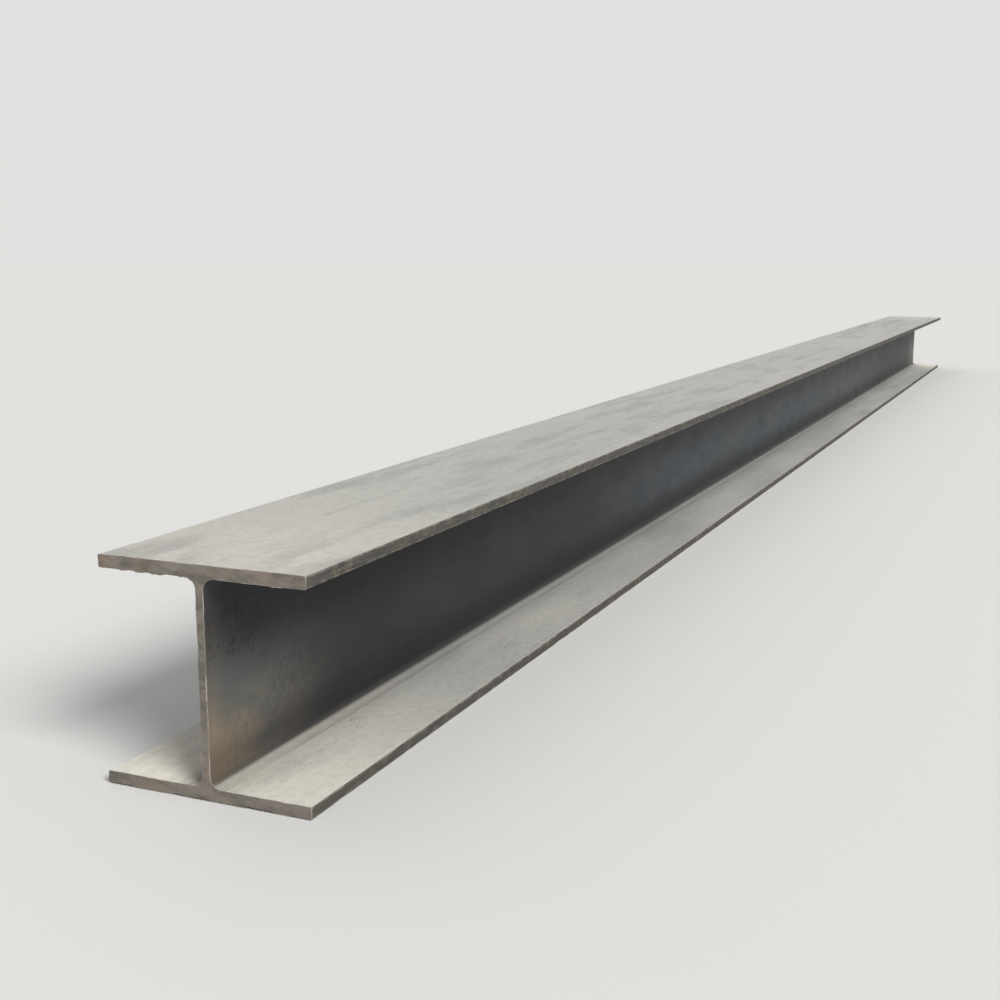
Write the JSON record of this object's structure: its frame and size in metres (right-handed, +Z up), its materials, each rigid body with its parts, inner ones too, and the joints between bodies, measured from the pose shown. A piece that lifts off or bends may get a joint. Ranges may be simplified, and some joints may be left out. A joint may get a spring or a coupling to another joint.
{
  "type": "steel h-beam",
  "caption": "Straight length of hot-rolled wide-flange structural steel with parallel flanges joined by a web, plain sawn ends and no holes.",
  "frame": {"origin": "on the underside of the lower flange, at the middle of the beam's width and length", "axes": "+X across the flanges, +Y along the beam, +Z up along the web from the lower flange to the upper one"},
  "size_m": [0.25, 6, 0.25],
  "materials": {
    "rolled_steel": "as-rolled mill scale with light dust and first rust, sawn ends"
  },
  "bodies": {
    "root": {"h_beam": "rolled_steel"}
  },
  "joints": []
}
